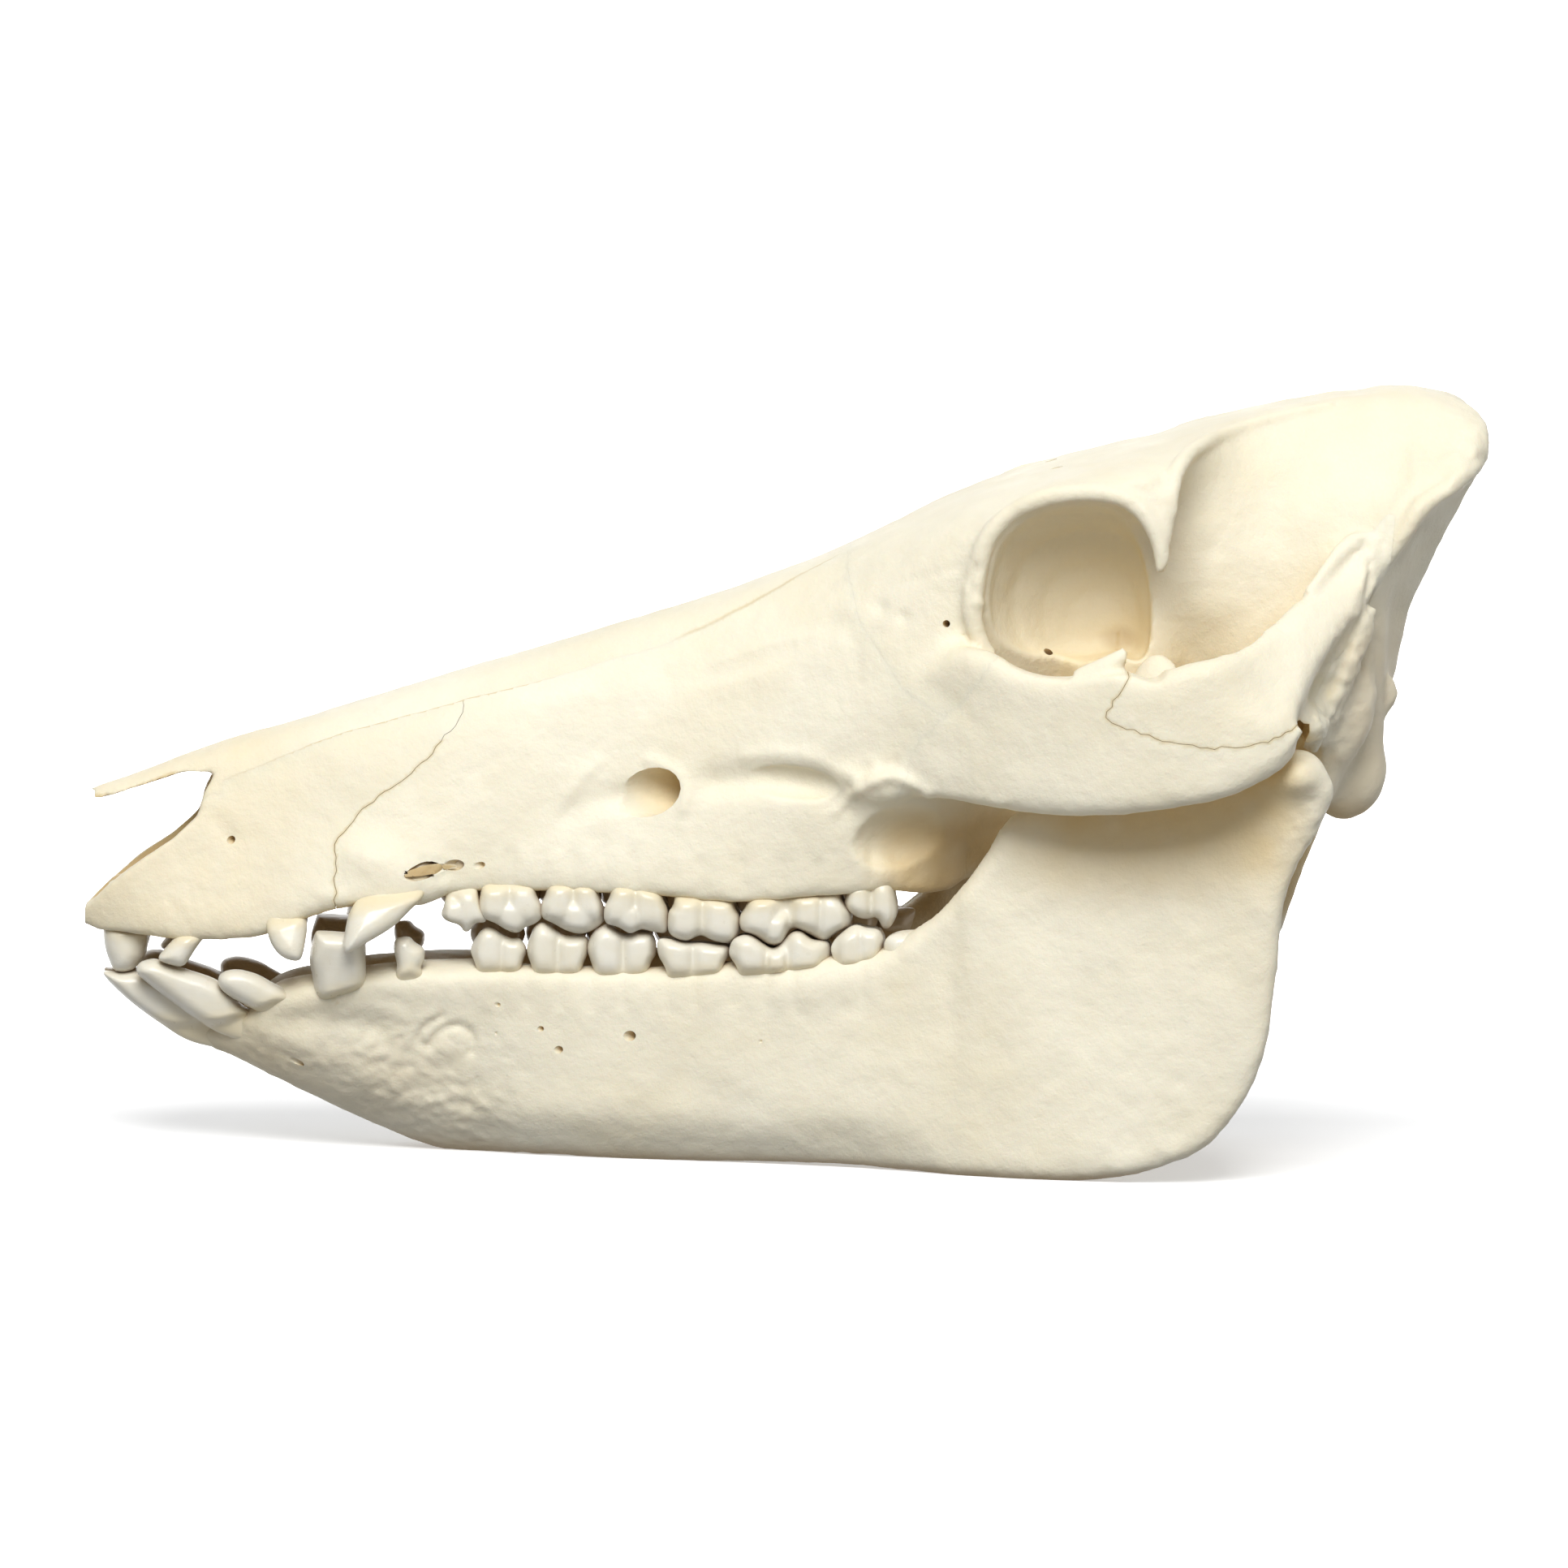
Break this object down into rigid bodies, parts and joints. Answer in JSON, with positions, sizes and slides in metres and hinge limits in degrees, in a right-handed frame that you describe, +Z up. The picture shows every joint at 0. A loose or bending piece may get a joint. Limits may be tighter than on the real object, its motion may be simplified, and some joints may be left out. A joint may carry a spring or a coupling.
{
  "type": "pig skull",
  "caption": "Life-size domestic pig skull, closed jaws with teeth, long sloping face, deep orbits and wide cheek arches; stands on its lower jaw as a still display model.",
  "frame": {"origin": "middle of the box round the skull, at the level of the flats under the lower jaw that it stands on", "axes": "+X from the snout to the back of the head, +Y towards the animal's right side, +Z up"},
  "size_m": [0.2958, 0.1426, 0.1666],
  "materials": {
    "bone": "dry cleaned bone, satin matte",
    "enamel": "tooth enamel, softly glossy"
  },
  "bodies": {
    "root": {"braincase": "bone", "zygomatic_left": "bone", "zygomatic_right": "bone", "temporal_arch_left": "bone", "temporal_arch_right": "bone", "nasal_bones": "bone", "incisive_bones": "bone", "maxilla": "bone", "mandible_left": "bone", "mandible_right": "bone"}
  },
  "joints": []
}
